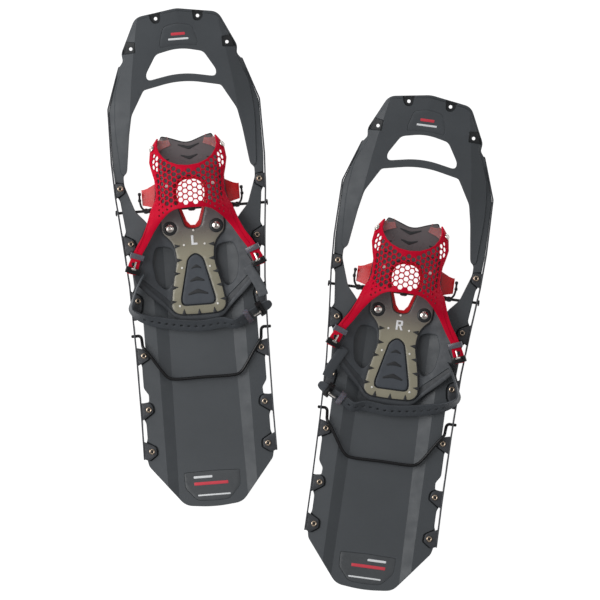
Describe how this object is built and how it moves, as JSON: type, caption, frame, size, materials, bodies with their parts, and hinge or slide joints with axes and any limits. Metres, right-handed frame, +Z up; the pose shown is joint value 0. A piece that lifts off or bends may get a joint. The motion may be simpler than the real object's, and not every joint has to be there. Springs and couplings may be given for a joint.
{
  "type": "pair of snowshoes",
  "caption": "Left and right mountain snowshoes with moulded decks, toothed steel side rails, pivoting crampon bindings, mesh toe straps, heel straps and folding wire heel lifts.",
  "frame": {"origin": "on the ground under the middle of the pair as it lies", "axes": "+Y towards the toes of the pair, +X to the wearer's right, +Z up"},
  "size_m": [0.4986, 0.7498, 0.0875],
  "materials": {
    "deck_plastic": "charcoal moulded nylon, satin with fine grain",
    "rail_steel": "black coated steel plate",
    "wire_steel": "black coated wire and cast buckle",
    "red_steel": "red powder-coated steel plate",
    "black_plastic": "black moulded bushing plastic",
    "harness_rubber": "dark grey moulded elastomer",
    "footbed_plastic": "smoky olive-grey moulded plastic",
    "red_strap": "red moulded elastomer mesh, slightly glossy",
    "bright_steel": "bright rivets and prongs",
    "keeper_plastic": "smoky grey strap keeper"
  },
  "bodies": {
    "left_frame": {"left_deck": "deck_plastic", "left_rail_inner": "rail_steel", "left_rail_outer": "rail_steel", "left_axle": "rail_steel"},
    "left_binding": {"left_crampon": "red_steel", "left_axle_sleeve_inner": "black_plastic", "left_axle_sleeve_outer": "black_plastic", "left_wing_bumper_inner": "black_plastic", "left_wing_bumper_outer": "black_plastic", "left_harness": "harness_rubber", "left_footbed": "footbed_plastic", "left_heel_pad": "harness_rubber", "left_pivot_rivet_inner": "bright_steel", "left_pivot_rivet_outer": "bright_steel", "left_toe_strap": "red_strap", "left_toe_snap_inner": "bright_steel", "left_toe_snap_outer": "bright_steel", "left_instep_buckle_inner": "wire_steel", "left_instep_buckle_outer": "wire_steel", "left_heel_strap": "harness_rubber", "left_heel_tab": "harness_rubber", "left_heel_buckle": "wire_steel"},
    "left_heel_lift": {"left_heel_lift": "wire_steel"},
    "left_instep_prong_inner": {"left_instep_prong_inner": "bright_steel"},
    "left_instep_prong_outer": {"left_instep_prong_outer": "bright_steel"},
    "left_heel_prong": {"left_heel_prong": "bright_steel"},
    "left_instep_keeper_inner": {"left_instep_keeper_inner": "keeper_plastic"},
    "left_instep_keeper_outer": {"left_instep_keeper_outer": "keeper_plastic"},
    "left_heel_keeper": {"left_heel_keeper": "keeper_plastic"},
    "right_frame": {"right_deck": "deck_plastic", "right_rail_inner": "rail_steel", "right_rail_outer": "rail_steel", "right_axle": "rail_steel"},
    "right_binding": {"right_crampon": "red_steel", "right_axle_sleeve_inner": "black_plastic", "right_axle_sleeve_outer": "black_plastic", "right_wing_bumper_inner": "black_plastic", "right_wing_bumper_outer": "black_plastic", "right_harness": "harness_rubber", "right_footbed": "footbed_plastic", "right_heel_pad": "harness_rubber", "right_pivot_rivet_inner": "bright_steel", "right_pivot_rivet_outer": "bright_steel", "right_toe_strap": "red_strap", "right_toe_snap_inner": "bright_steel", "right_toe_snap_outer": "bright_steel", "right_instep_buckle_inner": "wire_steel", "right_instep_buckle_outer": "wire_steel", "right_heel_strap": "harness_rubber", "right_heel_tab": "harness_rubber", "right_heel_buckle": "wire_steel"},
    "right_heel_lift": {"right_heel_lift": "wire_steel"},
    "right_instep_prong_inner": {"right_instep_prong_inner": "bright_steel"},
    "right_instep_prong_outer": {"right_instep_prong_outer": "bright_steel"},
    "right_heel_prong": {"right_heel_prong": "bright_steel"},
    "right_instep_keeper_inner": {"right_instep_keeper_inner": "keeper_plastic"},
    "right_instep_keeper_outer": {"right_instep_keeper_outer": "keeper_plastic"},
    "right_heel_keeper": {"right_heel_keeper": "keeper_plastic"}
  },
  "joints": [
    {"name": "left_binding_pivot", "type": "hinge", "parent": "left_frame", "child": "left_binding", "pos_m": [-0.14035, 0.11953, 0.019], "axis": [-0.9971, -0.0767, 0], "range_deg": [0, 65]},
    {"name": "left_heel_lift_fold", "type": "hinge", "parent": "left_frame", "child": "left_heel_lift", "pos_m": [-0.12808, -0.04, 0.0235], "axis": [-0.9971, -0.0767, 0], "range_deg": [0, 90]},
    {"name": "left_instep_prong_outer_turn", "type": "hinge", "parent": "left_binding", "child": "left_instep_prong_outer", "pos_m": [-0.21451, 0.03981, 0.05538], "axis": [0.9493, -0.2765, -0.1495], "range_deg": [0, 90]},
    {"name": "left_instep_prong_inner_turn", "type": "hinge", "parent": "left_binding", "child": "left_instep_prong_inner", "pos_m": [-0.05487, 0.05209, 0.05538], "axis": [0.8958, 0.4185, 0.1495], "range_deg": [0, 90]},
    {"name": "left_heel_prong_turn", "type": "hinge", "parent": "left_binding", "child": "left_heel_prong", "pos_m": [-0.05147, -0.01468, 0.04649], "axis": [-0.3863, 0.6106, 0.6913], "range_deg": [0, 90]},
    {"name": "left_instep_keeper_outer_slide", "type": "slide", "parent": "left_binding", "child": "left_instep_keeper_outer", "axis": [-0.2879, -0.9558, -0.0601], "range_m": [-0.004, 0.003]},
    {"name": "left_instep_keeper_inner_slide", "type": "slide", "parent": "left_binding", "child": "left_instep_keeper_inner", "axis": [0.4307, -0.9005, -0.0601], "range_m": [-0.004, 0.003]},
    {"name": "left_heel_keeper_slide", "type": "slide", "parent": "left_binding", "child": "left_heel_keeper", "axis": [0.855, 0.5183, 0.0201], "range_m": [-0.004, 0.003]},
    {"name": "right_shoe_lift", "type": "slide", "parent": "left_frame", "child": "right_frame", "axis": [0, 0, 1], "range_m": [0, 0.2]},
    {"name": "right_binding_pivot", "type": "hinge", "parent": "right_frame", "child": "right_binding", "pos_m": [0.13328, 0.00934, 0.019], "axis": [-0.991, 0.134, 0], "range_deg": [0, 65]},
    {"name": "right_heel_lift_fold", "type": "hinge", "parent": "right_frame", "child": "right_heel_lift", "pos_m": [0.11184, -0.14922, 0.0235], "axis": [-0.991, 0.134, 0], "range_deg": [0, 90]},
    {"name": "right_instep_prong_outer_turn", "type": "hinge", "parent": "right_binding", "child": "right_instep_prong_outer", "pos_m": [0.20272, -0.07452, 0.05538], "axis": [0.9636, 0.2214, 0.1495], "range_deg": [0, 90]},
    {"name": "right_instep_prong_inner_turn", "type": "hinge", "parent": "right_binding", "child": "right_instep_prong_inner", "pos_m": [0.04406, -0.05307, 0.05538], "axis": [0.8703, -0.4694, -0.1495], "range_deg": [0, 90]},
    {"name": "right_heel_prong_turn", "type": "hinge", "parent": "right_binding", "child": "right_heel_prong", "pos_m": [0.03682, -0.11954, 0.04649], "axis": [-0.4208, -0.5873, -0.6913], "range_deg": [0, 90]},
    {"name": "right_instep_keeper_outer_slide", "type": "slide", "parent": "right_binding", "child": "right_instep_keeper_outer", "axis": [0.2324, -0.9708, -0.0601], "range_m": [-0.004, 0.003]},
    {"name": "right_instep_keeper_inner_slide", "type": "slide", "parent": "right_binding", "child": "right_instep_keeper_inner", "axis": [-0.4818, -0.8742, -0.0601], "range_m": [-0.004, 0.003]},
    {"name": "right_heel_keeper_slide", "type": "slide", "parent": "right_binding", "child": "right_heel_keeper", "axis": [-0.8237, 0.5666, 0.0201], "range_m": [-0.004, 0.003]}
  ]
}
